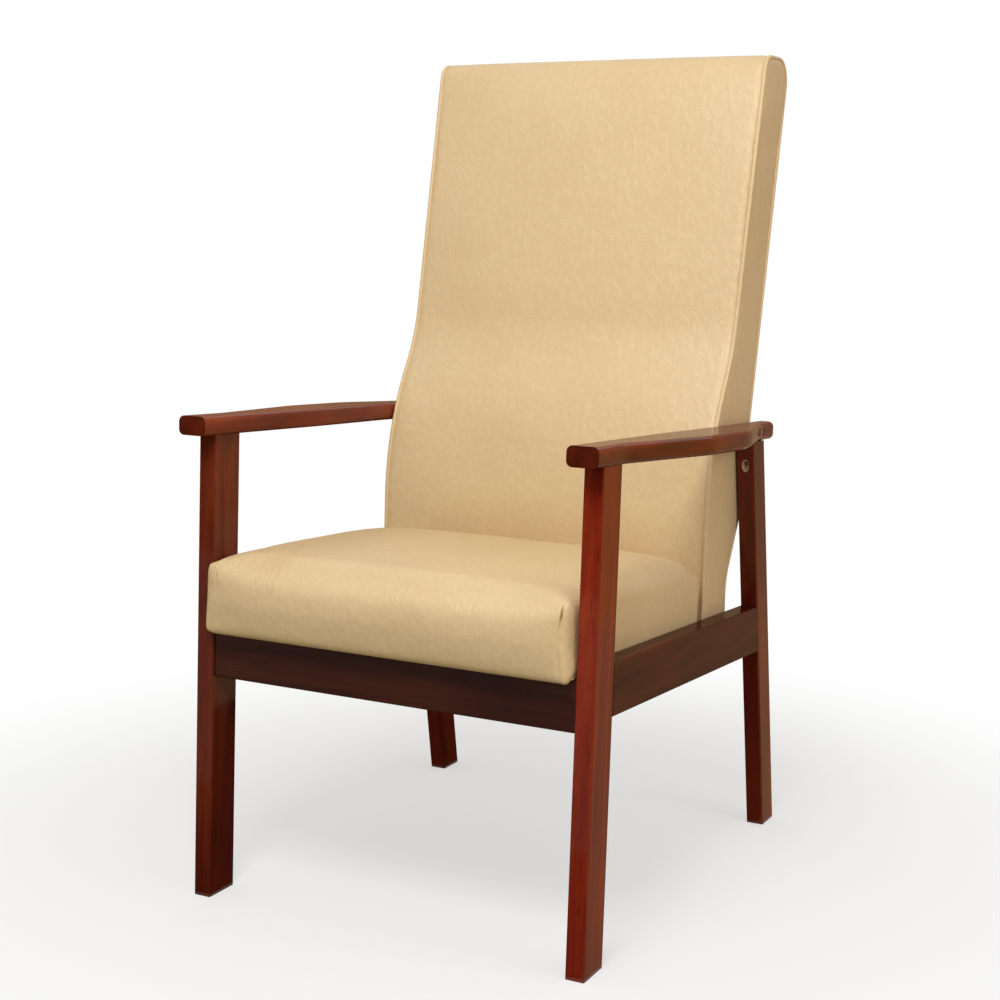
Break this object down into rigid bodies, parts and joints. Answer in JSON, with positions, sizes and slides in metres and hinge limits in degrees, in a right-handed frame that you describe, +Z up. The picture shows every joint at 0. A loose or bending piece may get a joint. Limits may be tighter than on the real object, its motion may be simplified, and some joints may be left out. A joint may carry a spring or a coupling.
{
  "type": "high-back patient chair",
  "caption": "High-back patient armchair: glossy dark wooden frame with raked legs and bowed armrests, overhanging padded seat, tall upholstered back with piped side panels.",
  "frame": {"origin": "on the floor, in the middle of the chair's overall width and depth", "axes": "+Z up, -Y the way the sitter faces, +X the sitter's left"},
  "size_m": [0.6784, 0.7346, 1.1711],
  "materials": {
    "show_wood": "gloss",
    "frame_wood": "raw",
    "board": "raw",
    "foam": "matte",
    "vinyl": "satin",
    "side_vinyl": "satin",
    "piping": "satin",
    "webbing": "matte",
    "steel": "plain"
  },
  "bodies": {
    "root": {"arm_dowels": "frame_wood", "arm_pocket_screws": "steel", "armrest_left": "show_wood", "armrest_right": "show_wood", "back_arm_bolts": "steel", "back_arm_inserts": "steel", "back_base_bolts": "steel", "back_base_inserts": "steel", "back_bottom_rail": "frame_wood", "back_cover": "vinyl", "back_foam": "foam", "back_frame_dowels": "frame_wood", "back_middle_rail": "frame_wood", "back_piping_left": "piping", "back_piping_right": "piping", "back_rear_panel": "board", "back_side_panel_left": "side_vinyl", "back_side_panel_right": "side_vinyl", "back_stile_left": "frame_wood", "back_stile_right": "frame_wood", "back_top_rail": "frame_wood", "back_webbing": "webbing", "bearer_screws": "steel", "corner_block_screws": "steel", "corner_blocks": "frame_wood", "front_leg_left": "show_wood", "front_leg_right": "show_wood", "front_rail": "show_wood", "rail_dowels": "frame_wood", "rear_leg_left": "show_wood", "rear_leg_right": "show_wood", "rear_rail": "show_wood", "seat_bearer_left": "frame_wood", "seat_bearer_right": "frame_wood", "seat_board": "board", "seat_cover": "vinyl", "seat_dust_cover": "webbing", "seat_foam": "foam", "seat_screws": "steel", "side_rail_left": "show_wood", "side_rail_right": "show_wood"}
  },
  "joints": []
}
